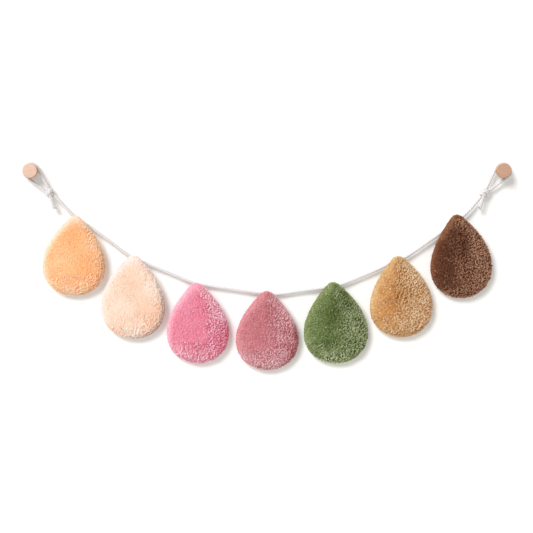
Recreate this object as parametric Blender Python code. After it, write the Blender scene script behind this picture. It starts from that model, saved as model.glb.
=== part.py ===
"""Raindrop garland: seven tufted raindrops on a white cotton cord, tied to two wooden wall pegs.

Metres, +Z up. The wall is the plane Y = 0 and the garland hangs in front of it, at -Y, with +X to
its right. The origin is the centre of the left peg's wall face. Each drop is a lumpy cut-pile pad
with a flat backing that leans on the cord at its tip and on the wall at its foot.
"""

import math

import bmesh
import bpy
import numpy as np
from mathutils import Matrix, Vector

CREASE_ANGLE = math.radians(40)

# Pegs
PEG_SPAN = 0.940
PEG_LENGTH = 0.028
PEG_HEAD_RADIUS = 0.0146
PEG_HEAD_THICKNESS = 0.012
PEG_STEM_RADIUS = 0.0112
PEG_EDGE = 0.0008
PEG_SIDES = 40

# Cord
CORD_DIAMETER = 0.0062
CORD_RADIUS = CORD_DIAMETER / 2
CORD_SPACING = 0.0155
LOOP_SPACING = 0.0052
CURVE_STEPS = 24
ARC_STEPS = 24
CORD_DEPTH_AT_PEGS = 0.0105
CORD_DEPTH_MIDDLE = 0.0070
TOUCH_GAP = 0.0003
FACET_GAP = 0.0003
COLLAR_LENGTH = 0.0085

# Drops: the pads' section and their hang
BACK_OFF_WALL = 0.0010
RIM_STEPS = 60
WIDEST_SHARE = 0.623
OUTLINE_CENTRE = 0.60
LEAN_SETTLES = 0.50
TIP_ROUNDING = 1.26
TIP_REACH = 0.040
LOCK_RISE = 0.0009
LUMP_RISE = 0.0004
LUMP_LENGTH = 0.036
LUMP_WAVES = (
    {"across": 0.80, "down": 0.60, "phase": 1.0},
    {"across": 0.65, "down": -1.17, "phase": 2.0},
)

# Section from the backing forward: inset from the outline, height over the backing, and how much
# of the rim's locks and of the front's lumps shows there
PILE_SECTION = (
    {"inset": 0.0050, "height": 0.0000, "locks": 0.5, "lumps": 0.0},
    {"inset": 0.0024, "height": 0.0036, "locks": 0.8, "lumps": 0.0},
    {"inset": 0.0000, "height": 0.0084, "locks": 1.0, "lumps": 0.3},
    {"inset": 0.0014, "height": 0.0124, "locks": 0.9, "lumps": 0.6},
    {"inset": 0.0055, "height": 0.0154, "locks": 0.5, "lumps": 0.8},
    {"inset": 0.0120, "height": 0.0172, "locks": 0.1, "lumps": 1.0},
    {"inset": 0.0220, "height": 0.0180, "locks": 0.0, "lumps": 1.0},
    {"inset": 0.0330, "height": 0.0182, "locks": 0.0, "lumps": 1.0},
    {"inset": 0.0450, "height": 0.0182, "locks": 0.0, "lumps": 1.0},
    {"inset": 0.0570, "height": 0.0182, "locks": 0.0, "lumps": 1.0},
)

# The tip's place (x, z), the size, and how far the body's middle line lies to the right of the tip
DROPS = (
    {"name": "peach", "x": 0.0917, "z": -0.0880, "width": 0.1268, "height": 0.1615, "lean": -0.0050},
    {"name": "cream", "x": 0.2053, "z": -0.1662, "width": 0.1290, "height": 0.1693, "lean": -0.0015},
    {"name": "pink", "x": 0.3300, "z": -0.2208, "width": 0.1260, "height": 0.1625, "lean": 0.0025},
    {"name": "rose", "x": 0.4700, "z": -0.2379, "width": 0.1268, "height": 0.1600, "lean": 0.0003},
    {"name": "green", "x": 0.6020, "z": -0.2208, "width": 0.1300, "height": 0.1645, "lean": 0.0058},
    {"name": "tan", "x": 0.7311, "z": -0.1674, "width": 0.1270, "height": 0.1645, "lean": 0.0062},
    {"name": "brown", "x": 0.8473, "z": -0.0868, "width": 0.1244, "height": 0.1685, "lean": 0.0095},
)

# The cord's middle line from knot to knot, seen from the front (x, z)
CORD_ROUTE = (
    (0.0458, -0.0485),
    (0.0856, -0.0889),
    (0.1205, -0.1136),
    (0.1580, -0.1407),
    (0.1951, -0.1681),
    (0.2314, -0.1852),
    (0.2777, -0.2042),
    (0.3239, -0.2233),
    (0.3474, -0.2279),
    (0.4072, -0.2369),
    (0.4570, -0.2438),
    (0.4889, -0.2458),
    (0.5368, -0.2394),
    (0.5846, -0.2329),
    (0.6195, -0.2259),
    (0.6863, -0.1980),
    (0.7108, -0.1866),
    (0.7455, -0.1721),
    (0.8133, -0.1256),
    (0.8617, -0.0897),
    (0.8976, -0.0499),
)

# Each end's knot: its middle, where the loop's two legs and the cut end leave it, and its wraps.
# A wrap is a ring of cord round the knot: its place along the knot, its two radii and its tilt.
KNOTS = (
    {
        "side": "left",
        "peg_x": 0.0,
        "turn": 1.0,
        "middle": (0.0383, -0.0446),
        "upper_leg": (0.0355, -0.0353),
        "lower_leg": (0.0289, -0.0406),
        "tail": ((0.0416, -0.0575), (0.0468, -0.0731)),
        "core": 0.0068,
        "wraps": (
            {"along": -0.0024, "ring": 0.0066, "cord": 0.0034, "tilt": 10.0, "swing": 0.0},
            {"along": 0.0040, "ring": 0.0046, "cord": 0.0031, "tilt": -30.0, "swing": 12.0},
        ),
    },
    {
        "side": "right",
        "peg_x": PEG_SPAN,
        "turn": -1.0,
        "middle": (0.9037, -0.0430),
        "upper_leg": (0.9075, -0.0342),
        "lower_leg": (0.9127, -0.0385),
        "tail": ((0.8994, -0.0550), (0.8932, -0.0735)),
        "core": 0.0056,
        "wraps": (
            {"along": -0.0016, "ring": 0.0046, "cord": 0.0032, "tilt": 34.0, "swing": 10.0},
            {"along": 0.0018, "ring": 0.0044, "cord": 0.0031, "tilt": -34.0, "swing": -14.0},
        ),
    },
)
TAIL_FORWARD = (0.0058, 0.0040)
TAIL_END_WIDTH = 0.0092
TAIL_END_DEPTH = 0.0064
TAIL_CUT_SLANT = 0.0022
TAIL_SIDES = 14
TAIL_RINGS = 5
WRAP_STEPS = 22
WRAP_SIDES = 10
CORE_STEPS = 16
COLLAR_SIDES = 12

# Name: sRGB colour and roughness
FINISHES = {
    "peach": ("F9C395", 0.95),
    "cream": ("F8DAC3", 0.95),
    "pink": ("E694A4", 0.95),
    "rose": ("C8888D", 0.95),
    "green": ("768159", 0.95),
    "tan": ("C79B70", 0.95),
    "brown": ("765240", 0.95),
    "cord": ("F2EFEA", 0.90),
    "wood": ("D9B398", 0.60),
}


def clear_objects():
    for thing in list(bpy.data.objects):
        bpy.data.objects.remove(thing, do_unlink=True)


def linear(hex_colour):
    """The sRGB colour as the linear red, green, blue and alpha that a shader takes."""
    shares = [int(hex_colour[i : i + 2], 16) / 255 for i in (0, 2, 4)]
    return [c / 12.92 if c <= 0.04045 else ((c + 0.055) / 1.055) ** 2.4 for c in shares] + [1.0]


def finish(name, label):
    """A fresh material of that finish for one sub-part."""
    colour, roughness = FINISHES[name]
    material = bpy.data.materials.new(label)
    material.use_nodes = True
    shader = material.node_tree.nodes["Principled BSDF"]
    shader.inputs["Base Color"].default_value = linear(colour)
    shader.inputs["Roughness"].default_value = roughness
    shader.inputs["Metallic"].default_value = 0.0
    return material


def add_object(name, data, material=None):
    thing = bpy.data.objects.new(name, data)
    bpy.context.collection.objects.link(thing)
    if material:
        data.materials.append(material)
    return thing


def loft(name, rings, closed=False):
    """A closed skin over rings of points: each ring joins the next, and the ends get a flat cap.

    With closed set, the last ring joins the first and there are no caps."""
    shape = bmesh.new()
    loops = [[shape.verts.new(point) for point in ring] for ring in rings]
    pairs = list(zip(loops, loops[1:] + loops[:1])) if closed else list(zip(loops, loops[1:]))
    for here, there in pairs:
        count = len(here)
        for i in range(count):
            j = (i + 1) % count
            shape.faces.new((here[i], here[j], there[j], there[i]))
    if not closed:
        shape.faces.new(loops[0])
        shape.faces.new(loops[-1])
    bmesh.ops.recalc_face_normals(shape, faces=shape.faces)
    mesh = bpy.data.meshes.new(name)
    shape.to_mesh(mesh)
    shape.free()
    mesh.shade_smooth()
    mesh.set_sharp_from_angle(angle=CREASE_ANGLE)
    return mesh


def circle(count):
    """Unit circle as cosines and sines, one pair for each of count even steps."""
    turn = np.linspace(0.0, 2 * math.pi, count, endpoint=False)
    return np.cos(turn), np.sin(turn)


def unit(vector):
    vector = np.asarray(vector, float)
    return vector / np.linalg.norm(vector)


# The pegs

def build_peg(side, x):
    """A turned peg: a thinner stem on the wall and a round flat head with eased edges."""
    head_back = PEG_LENGTH - PEG_HEAD_THICKNESS
    section = (
        (PEG_STEM_RADIUS, 0.0),
        (PEG_STEM_RADIUS, head_back),
        (PEG_HEAD_RADIUS - PEG_EDGE, head_back),
        (PEG_HEAD_RADIUS, head_back + PEG_EDGE),
        (PEG_HEAD_RADIUS, PEG_LENGTH - PEG_EDGE),
        (PEG_HEAD_RADIUS - PEG_EDGE, PEG_LENGTH),
    )
    cosines, sines = circle(PEG_SIDES)
    rings = [np.stack([r * cosines, np.full(PEG_SIDES, -out), r * sines], axis=1) for r, out in section]
    name = f"peg_{side}"
    peg = add_object(name, loft(name, rings), finish("wood", name))
    peg.location = (x, 0.0, 0.0)


# The cord

def cord_depth(x):
    """How far the cord's middle stands off the wall: most at the pegs, least half way along."""
    share = abs(2 * x / PEG_SPAN - 1)
    return CORD_DEPTH_MIDDLE + (CORD_DEPTH_AT_PEGS - CORD_DEPTH_MIDDLE) * share**1.5


def in_space(point):
    """A place (x, z) seen from the front, put at the cord's depth there."""
    x, z = point
    return np.array([x, -cord_depth(x), z])


def tail_ends(knot):
    """Where the cut end starts and stops: it lies in front of the hanging cord."""
    return [in_space(point) - (0.0, out, 0.0) for point, out in zip(knot["tail"], TAIL_FORWARD)]


def even_steps(line, spacing):
    """The line's points moved along it until they are evenly spaced, about spacing apart."""
    run = np.concatenate([[0.0], np.cumsum(np.linalg.norm(np.diff(line, axis=0), axis=1))])
    steps = np.linspace(0.0, run[-1], int(round(run[-1] / spacing)) + 1)
    return np.stack([np.interp(steps, run, line[:, i]) for i in range(3)], axis=1)


def smooth_path(points, spacing):
    """Even steps along a Catmull-Rom curve through the points, with the ends carried straight on."""
    points = np.asarray(points, float)
    ends = np.vstack([2 * points[0] - points[1], points, 2 * points[-1] - points[-2]])
    u = np.linspace(0.0, 1.0, CURVE_STEPS, endpoint=False)[:, None]
    stretches = []
    for a, b, c, d in zip(ends, ends[1:], ends[2:], ends[3:]):
        bend = 2 * b + (c - a) * u + (2 * a - 5 * b + 4 * c - d) * u**2 + (3 * b - a - 3 * c + d) * u**3
        stretches.append(bend / 2)
    return even_steps(np.vstack(stretches + [points[-1:]]), spacing)


def build_tube(name, points):
    """A round cord through the points, its ends closed flat."""
    curve = bpy.data.curves.new(name, "CURVE")
    curve.dimensions = "3D"
    curve.bevel_depth = CORD_RADIUS
    curve.bevel_resolution = 2
    curve.use_fill_caps = True
    line = curve.splines.new("POLY")
    line.points.add(len(points) - 1)
    for place, point in zip(line.points, points):
        place.co = (*point, 1.0)
    line.use_smooth = True
    add_object(name, curve, finish("cord", name))


def drawn_back(line):
    """The line with both ends a touch short, clear of the knots' collars."""
    line = np.array(line, float)
    line[0] += unit(line[1] - line[0]) * TOUCH_GAP
    line[-1] += unit(line[-2] - line[-1]) * TOUCH_GAP
    return line


def main_cord():
    """The middle line of the cord between the knots' collars, at even steps."""
    return smooth_path(drawn_back([in_space(point) for point in CORD_ROUTE]), CORD_SPACING)


def touch_point(peg_x, end, radius, turn):
    """The angle at which a straight leg from end meets the circle round the peg's stem."""
    across = np.array([end[0] - peg_x, end[1]])
    return math.atan2(across[1], across[0]) + turn * math.acos(radius / np.linalg.norm(across))


def loop_line(knot):
    """From the upper leg's end, straight to the stem, round its far side and back to the lower leg."""
    radius = PEG_STEM_RADIUS + TOUCH_GAP + FACET_GAP + CORD_RADIUS
    turn = knot["turn"]
    first = touch_point(knot["peg_x"], knot["upper_leg"], radius, turn)
    last = touch_point(knot["peg_x"], knot["lower_leg"], radius, -turn)
    sweep = (last - first) * turn % (2 * math.pi)
    angles = first + turn * np.linspace(0.0, sweep, ARC_STEPS + 1)
    arc = np.stack([knot["peg_x"] + radius * np.cos(angles), radius * np.sin(angles)], axis=1)
    return np.vstack([knot["upper_leg"], arc, knot["lower_leg"]])


def loop_path(knot):
    """The loop's middle line at even steps, at the depth that the cord has at its peg."""
    flat = loop_line(knot)
    depth = cord_depth(knot["peg_x"])
    line = np.stack([flat[:, 0], np.full(len(flat), -depth), flat[:, 1]], axis=1)
    return even_steps(drawn_back(line), LOOP_SPACING)


# The knots and the cut ends

def knot_axis(knot):
    """The knot's own direction, from the peg towards the hanging cord."""
    middle = np.array(knot["middle"])
    return unit([middle[0] - knot["peg_x"], 0.0, middle[1]])


def wrap_rings(wrap):
    """A ring of cord round the local X axis: a torus, drawn as rings of points along its circle."""
    steps_cos, steps_sin = circle(WRAP_STEPS)
    sides_cos, sides_sin = circle(WRAP_SIDES)
    rings = []
    for c, s in zip(steps_cos, steps_sin):
        reach = wrap["ring"] + wrap["cord"] * sides_cos
        rings.append(np.stack([wrap["cord"] * sides_sin, reach * c, reach * s], axis=1))
    return rings


def collar_rings(end, outward):
    """Two circles of the cord's size: one at end, square to outward, and one inside the knot."""
    side = unit(np.cross(outward, (0.0, 1.0, 0.0)))
    up = np.cross(side, outward)
    cosines, sines = circle(COLLAR_SIDES)
    ring = CORD_RADIUS * (cosines[:, None] * side + sines[:, None] * up)
    return [end - outward * COLLAR_LENGTH + ring, end + ring]


def leg_ends(knot):
    """Each place where cord leaves the knot, with its outward direction."""
    depth = cord_depth(knot["peg_x"])
    loop = loop_line(knot)
    ends = []
    for near, far in ((loop[0], loop[1]), (loop[-1], loop[-2])):
        ends.append((np.array([near[0], -depth, near[1]]), unit([far[0] - near[0], 0.0, far[1] - near[1]])))
    route = [in_space(point) for point in CORD_ROUTE]
    near, far = (route[0], route[1]) if knot["side"] == "left" else (route[-1], route[-2])
    ends.append((near, unit(far - near)))
    start, stop = tail_ends(knot)
    ends.append((start, unit(stop - start)))
    return ends


def helper(name, mesh, collection):
    """A shape that only serves to be joined with another, so it is not shown itself."""
    piece = bpy.data.objects.new(name, mesh)
    piece.hide_render = True
    piece.display_type = "WIRE"
    collection.objects.link(piece)
    return piece


def knot_core(name, radius):
    """The round middle of a knot, on which the wraps and collars are joined."""
    shape = bmesh.new()
    bmesh.ops.create_uvsphere(shape, u_segments=CORE_STEPS, v_segments=CORE_STEPS // 2, radius=radius)
    mesh = bpy.data.meshes.new(name)
    shape.to_mesh(mesh)
    shape.free()
    mesh.shade_smooth()
    return mesh


def build_knot(knot):
    """A pulled-tight knot: a core, wraps of cord round it and a collar for each cord, joined as one."""
    name = f"knot_{knot['side']}"
    middle = in_space(knot["middle"])
    axis = knot_axis(knot)
    core = add_object(name, knot_core(name, knot["core"]), finish("cord", name))
    core.location = middle
    pieces = bpy.data.collections.new(f"{name}_pieces")
    bpy.context.scene.collection.children.link(pieces)
    turned = Vector((1.0, 0.0, 0.0)).rotation_difference(Vector(axis)).to_matrix().to_4x4()
    for i, wrap in enumerate(knot["wraps"]):
        piece = helper(f"{name}_wrap_{i}", loft(f"{name}_wrap_{i}", wrap_rings(wrap), closed=True), pieces)
        tilt = Matrix.Rotation(math.radians(wrap["tilt"]), 4, "Y")
        swing = Matrix.Rotation(math.radians(wrap["swing"]), 4, "Z")
        place = Matrix.Translation(Vector(middle + axis * wrap["along"]))
        piece.matrix_world = place @ turned @ tilt @ swing
    for i, (end, outward) in enumerate(leg_ends(knot)):
        helper(f"{name}_collar_{i}", loft(f"{name}_collar_{i}", collar_rings(end, outward)), pieces)
    joined = core.modifiers.new("join", "BOOLEAN")
    joined.operation = "UNION"
    joined.operand_type = "COLLECTION"
    joined.collection = pieces
    joined.solver = "EXACT"


def build_tail(knot):
    """The cord's cut end: it spreads from the knot down to a slanting cut."""
    name = f"tail_{knot['side']}"
    start, stop = tail_ends(knot)
    along = unit(stop - start)
    across = unit(np.cross(along, (0.0, 1.0, 0.0)))
    front = np.cross(across, along)
    cosines, sines = circle(TAIL_SIDES)
    rings = []
    for share in np.linspace(0.0, 1.0, TAIL_RINGS):
        wide = CORD_RADIUS + (TAIL_END_WIDTH / 2 - CORD_RADIUS) * share
        deep = CORD_RADIUS + (TAIL_END_DEPTH / 2 - CORD_RADIUS) * share
        middle = start + along * TOUCH_GAP + (stop - start) * share
        slant = TAIL_CUT_SLANT * share**3 * cosines[:, None] * along
        rings.append(middle + wide * cosines[:, None] * across + deep * sines[:, None] * front + slant)
    add_object(name, loft(name, rings), finish("cord", name))


# The drops

def width_share(down):
    """The outline's width at a share of the height down from the tip, 1 at the widest place.

    A power curve gives the straight shoulders and the round foot, and a term that fades out just
    below the tip blunts the point."""
    top = WIDEST_SHARE / (1 - WIDEST_SHARE) / 2
    peak = WIDEST_SHARE**top * (1 - WIDEST_SHARE) ** 0.5
    plain = down**top * (1 - down) ** 0.5 / peak
    return np.sqrt(plain**2 + TIP_ROUNDING * down * np.exp(-down / TIP_REACH))


def lean_share(down):
    """How much of the lean the middle line has at that share of the height."""
    left = 1 - np.minimum(down / LEAN_SETTLES, 1.0)
    return 1 - left**2


def outline(drop):
    """The drop's edge as (x, z) from its tip."""
    turn = np.linspace(0.0, 2 * math.pi, RIM_STEPS, endpoint=False)
    down = (1 - np.cos(turn)) / 2
    x = np.sign(np.sin(turn)) * width_share(down) * drop["width"] / 2 + lean_share(down) * drop["lean"]
    return np.stack([x, -drop["height"] * down], axis=1)


def lock_rise(drop):
    """How far each yarn lock at the edge stands out: every other one more, and none quite alike."""
    seed = len(drop["name"]) * 100 + ord(drop["name"][0])
    uneven = np.random.default_rng(seed).uniform(-0.5, 0.5, RIM_STEPS)
    return LOCK_RISE * (uneven + np.cos(np.arange(RIM_STEPS) * math.pi) / 2)


def lumps(x, z, phase):
    """Low crossing waves over the pile, a little more than a thumb's width from crest to crest."""
    turn = 2 * math.pi / LUMP_LENGTH
    waves = [np.sin(turn * (w["across"] * x + w["down"] * z) + w["phase"] * phase) for w in LUMP_WAVES]
    return LUMP_RISE * sum(waves)


def hang_depth(drop, cord):
    """How far the backing stands off the wall at the tip, so that it just clears the cord behind it.

    The cord counts where it crosses behind the backing, whose edge is the section's first inset in."""
    down = (drop["z"] - cord[:, 2]) / drop["height"]
    inside = (down > 0) & (down < 0.5)
    middle = drop["x"] + lean_share(down) * drop["lean"]
    reach = width_share(np.where(inside, down, 0.0)) * drop["width"] / 2 - PILE_SECTION[0]["inset"]
    inside &= abs(cord[:, 0] - middle) < reach + CORD_RADIUS / 2
    behind = down[inside]
    clear = -cord[inside, 1] + CORD_RADIUS + TOUCH_GAP
    return float(np.max((clear - BACK_OFF_WALL * behind) / (1 - behind)))


def build_drop(drop, cord):
    """One tufted pad: rings of its outline drawn in by the section, from the backing to the middle."""
    centre = np.array([drop["lean"], -drop["height"] * OUTLINE_CENTRE])
    spokes = outline(drop) - centre
    reach = np.linalg.norm(spokes, axis=1)[:, None]
    locks = spokes / reach * lock_rise(drop)[:, None]
    phase = ord(drop["name"][0])
    rings = []
    for step in PILE_SECTION:
        flat = centre + spokes * (1 - step["inset"] / reach.mean()) + step["locks"] * locks
        out = step["height"] + step["lumps"] * lumps(flat[:, 0], flat[:, 1], phase)
        rings.append(np.stack([flat[:, 0], -out, flat[:, 1]], axis=1))
    name = f"drop_{drop['name']}"
    pad = add_object(name, loft(name, rings), finish(drop["name"], name))
    depth = hang_depth(drop, cord)
    pad.location = (drop["x"], -depth, drop["z"])
    pad.rotation_euler = (math.asin((depth - BACK_OFF_WALL) / drop["height"]), 0.0, 0.0)


def main():
    clear_objects()
    cord = main_cord()
    build_tube("garland_cord", cord)
    build_peg("left", 0.0)
    build_peg("right", PEG_SPAN)
    for knot in KNOTS:
        build_tube(f"loop_{knot['side']}", loop_path(knot))
        build_knot(knot)
        build_tail(knot)
    dense = smooth_path(cord, CORD_RADIUS / 4)
    for drop in DROPS:
        build_drop(drop, dense)


main()
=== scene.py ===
"""Raindrop garland: the looks of seven cut-pile raindrops, their twisted cotton cord and two pegs.

Metres, in the frame of the solids: the wall is the plane Y = 0, the garland hangs in front of it
at -Y, +X runs to its right and +Z up. Every new surface is worked out as whole arrays: a grid of
points over two parameters, or a section carried along a path.
"""
import math
from types import SimpleNamespace

import bpy
import numpy as np
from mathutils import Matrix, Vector


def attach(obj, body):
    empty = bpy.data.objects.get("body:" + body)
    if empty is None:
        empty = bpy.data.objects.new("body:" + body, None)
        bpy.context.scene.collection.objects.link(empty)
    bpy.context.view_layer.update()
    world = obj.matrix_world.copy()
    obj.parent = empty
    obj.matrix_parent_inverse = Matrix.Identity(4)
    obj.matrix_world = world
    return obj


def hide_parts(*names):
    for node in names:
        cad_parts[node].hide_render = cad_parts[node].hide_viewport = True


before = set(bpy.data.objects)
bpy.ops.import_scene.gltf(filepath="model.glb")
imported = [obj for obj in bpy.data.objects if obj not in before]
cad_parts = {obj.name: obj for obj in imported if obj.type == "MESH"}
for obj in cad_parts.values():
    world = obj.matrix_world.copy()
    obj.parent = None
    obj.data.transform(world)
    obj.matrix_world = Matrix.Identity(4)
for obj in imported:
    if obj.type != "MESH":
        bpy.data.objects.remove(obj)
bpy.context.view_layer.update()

BODY = "root"
FULL_TURN = 2 * math.pi


def by_name(columns, table):
    """A table's rows by the name that each begins with, and a row's values by column."""
    return {name: dict(zip(columns.split(), values)) for name, *values in table}


# The view: square on to the wall, which the picture shows this far from side to side
VIEW_WIDTH = 1.066
VIEW_DISTANCE = 2.8
VIEW_CENTRE = (0.469, -0.190)
SENSOR_MM = 36.0

# Pegs: their size, the easings round their edges, a dome so low that it only catches the light, and
# the share of the face to which its rings run in
PEG_SPAN = 0.940
PEG_LENGTH = 0.028
PEG_HEAD_RADIUS = 0.0146
PEG_HEAD_THICKNESS = 0.012
PEG_STEM_RADIUS = 0.0112
PEG_FRONT_EASING = 0.0011
PEG_BACK_EASING = 0.0006
PEG_NECK_EASING = 0.0004
PEG_DOME = 0.0002
PEG_SIDES = 96
PEG_EASING_RINGS = 7
PEG_FACE_RINGS = 8
PEG_FACE_MIDDLE = 0.1
CRISP_TURNING = 40

# Cord: three strands, one lay being the length in which a strand goes once round
CORD_DIAMETER = 0.0062
CORD_RADIUS = CORD_DIAMETER / 2
CORD_LAY = 0.0165
CORD_GROOVE = 0.13
CORD_SIDES = 24
CORD_STEP = 0.0014
CORD_DEPTH_AT_PEGS = 0.0105
CORD_DEPTH_MIDDLE = 0.0070
CURVE_STEPS = 24
ARC_STEPS = 48
CRISP_CUT = 60

# The cord stops this far short of where its knots begin, keeps as far off a peg, and adds as much for
# the flats of its stem. A collar carries it on into the knot, from just inside its end.
TOUCH_GAP = 0.0003
FACET_GAP = 0.0003
CORD_OVERLAP = 0.0001
COLLAR_LENGTH = 0.0085
COLLAR_STEPS = 9
COLLAR_RADIUS = CORD_RADIUS * 0.985

# The cord's middle line from knot to knot, seen from the front (x, z)
CORD_ROUTE = (
    (0.0458, -0.0485),
    (0.0856, -0.0889),
    (0.1205, -0.1136),
    (0.1580, -0.1407),
    (0.1951, -0.1681),
    (0.2314, -0.1852),
    (0.2777, -0.2042),
    (0.3239, -0.2233),
    (0.3474, -0.2279),
    (0.4072, -0.2369),
    (0.4570, -0.2438),
    (0.4889, -0.2458),
    (0.5368, -0.2394),
    (0.5846, -0.2329),
    (0.6195, -0.2259),
    (0.6863, -0.1980),
    (0.7108, -0.1866),
    (0.7455, -0.1721),
    (0.8133, -0.1256),
    (0.8617, -0.0897),
    (0.8976, -0.0499),
)

# Each end's knot: its middle, where the loop's legs and the cut end leave it, and its turns of cord.
# A turn goes round the knot: its place along the knot, how far it moves on and aside, its radius and
# the cord's, its two tilts in degrees, and how much broader than high the cord is pressed there.
KNOTS = (
    {
        "side": "left",
        "peg_x": 0.0,
        "way": 1.0,
        "middle": (0.0383, -0.0446),
        "upper_leg": (0.0355, -0.0353),
        "lower_leg": (0.0289, -0.0406),
        "tail": ((0.0416, -0.0575), (0.0468, -0.0731)),
        "tail_radius": 0.0035,
        "fray": 0.06,
        "turns": (
            (-0.0030, 0.0030, 0.0000, 0.0064, 0.0034, 4, 0, 1.55),
            (0.0034, -0.0012, 0.0014, 0.0040, 0.0036, 20, 6, 1.05),
        ),
    },
    {
        "side": "right",
        "peg_x": PEG_SPAN,
        "way": -1.0,
        "middle": (0.9037, -0.0430),
        "upper_leg": (0.9075, -0.0342),
        "lower_leg": (0.9127, -0.0385),
        "tail": ((0.8994, -0.0550), (0.8932, -0.0735)),
        "tail_radius": 0.0028,
        "fray": 0.30,
        "turns": (
            (-0.0030, 0.0014, 0.0010, 0.0058, 0.0036, 14, 6, 1.45),
            (0.0012, -0.0014, 0.0000, 0.0054, 0.0030, -34, -6, 1.05),
            (0.0048, 0.0012, -0.0006, 0.0050, 0.0034, 12, -8, 1.15),
        ),
    },
)

# The knots' shallower groove, how far from a knot's axis its pits and its crests lie, between which
# the painted shade in the pits fades out, and how far round a turn goes and dives
KNOT_GROOVE = 0.06
KNOT_PIT = 0.0040
KNOT_CREST = 0.0085
TURN_SWEEP = 1.12 * FULL_TURN
TURN_STEPS = 72
TURN_DIVE = 0.5

# Cut ends: how far in front of the cord they start and stop, how they dive into the knot, their size
# at the cut and its slant. Loose fibres stand over a share of the cut's area, and their stem, lie and
# curl are shares of their length.
TAIL_FORWARD = (0.0058, 0.0040)
TAIL_DIVE = 0.0060
TAIL_END_WIDTH = 0.0092
TAIL_END_DEPTH = 0.0064
TAIL_CUT_SLANT = 0.0022
TAIL_STEPS = 18
FIBRE = {
    "count": 400, "length": 0.0020, "radius": 0.00018,
    "over_cut": 0.9, "stem": (1.0, 1.2), "lie": 0.6, "curl": 0.20,
}

# Drops: how far the foot of the back stands off the wall; then, in shares of the height down from the
# tip, where they are widest, their centre, where their middle line runs upright again, and the
# stretch of the solid's back that tells how it leans. The rounding blunts the tip, and fades out over
# its reach. INSIDE keeps a share off the outline's ends, and NEAR_NOTHING a length off 0.
BACK_OFF_WALL = 0.0010
WIDEST_SHARE = 0.623
OUTLINE_CENTRE = 0.60
LEAN_SETTLES = 0.50
SHOULDER = (0.1, 0.5)
TIP_ROUNDING = 1.26
TIP_REACH = 0.040
EDGE_STEPS = 720
INSIDE = (0.01, 0.99)
NEAR_NOTHING = 1e-6

# Waves over a drop, as how fast they turn across and down, and their start, which goes with a letter
# of the drop's name: low lumps in the pile, in full turns to one lump's length, and a slow change of
# tone, in radians to a metre
LUMP_RISE = 0.0002
LUMP_LENGTH = 0.036
LUMP_WAVES = ((0.80, 0.60, 1), (0.65, -1.17, 2))
SLOW_TONE = 0.03
SLOW_WAVES = ((70, 40, 1), (-45, 75, 2))

# Section from the backing forward: inset from the outline, height over the backing, lumps' share
PILE_SECTION = (
    (0.0050, 0.0000, 0.0),
    (0.0024, 0.0036, 0.0),
    (0.0000, 0.0084, 0.3),
    (0.0014, 0.0124, 0.6),
    (0.0055, 0.0154, 0.8),
    (0.0120, 0.0172, 1.0),
    (0.0220, 0.0180, 1.0),
    (0.0330, 0.0182, 1.0),
    (0.0450, 0.0182, 1.0),
    (0.0570, 0.0182, 1.0),
)
SECTION_STEP = 0.0003

# The tip's place, the size, and how far the body's middle line lies to the right of the tip
DROPS = by_name(
    "x z width height lean",
    (
        ("peach", 0.0907, -0.0880, 0.1268, 0.1615, -0.0050),
        ("cream", 0.2053, -0.1662, 0.1290, 0.1693, -0.0015),
        ("pink", 0.3300, -0.2208, 0.1260, 0.1625, 0.0025),
        ("rose", 0.4700, -0.2372, 0.1268, 0.1600, 0.0003),
        ("green", 0.6014, -0.2196, 0.1300, 0.1645, 0.0058),
        ("tan", 0.7311, -0.1674, 0.1270, 0.1645, 0.0062),
        ("brown", 0.8467, -0.0856, 0.1244, 0.1685, 0.0095),
    ),
)

# How each pile lies. It is sleek over a share of the width, from the left, and of the height, from the
# tip, and past those it has opened; its loft is how deep. Its tone is uneven from tuft to tuft, and
# patchy over broader stretches. Light passes through its yarn as far as that is clear, and shaded is
# how much painted shade, the yarn's deeper colour, shows at the rim that turns away from the light.
PILES = by_name(
    "sleek foot loft uneven patchy clear shaded",
    (
        ("peach", 0.88, 0.82, 0.60, 0.5, 0.01, 0.40, 0.60),
        ("cream", 0.90, 0.82, 0.55, 0.3, 0.01, 0.40, 0.70),
        ("pink", 0.68, 0.79, 0.80, 1.0, 0.07, 0.25, 0.60),
        ("rose", 0.58, 0.79, 0.90, 1.2, 0.08, 0.15, 0.60),
        ("green", 0.55, 0.78, 1.15, 2.0, 0.18, 0.10, 0.20),
        ("tan", 0.40, 0.79, 0.85, 1.2, 0.07, 0.10, 0.35),
        ("brown", 0.36, 0.79, 1.10, 2.4, 0.19, 0.05, 0.10),
    ),
)
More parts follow.
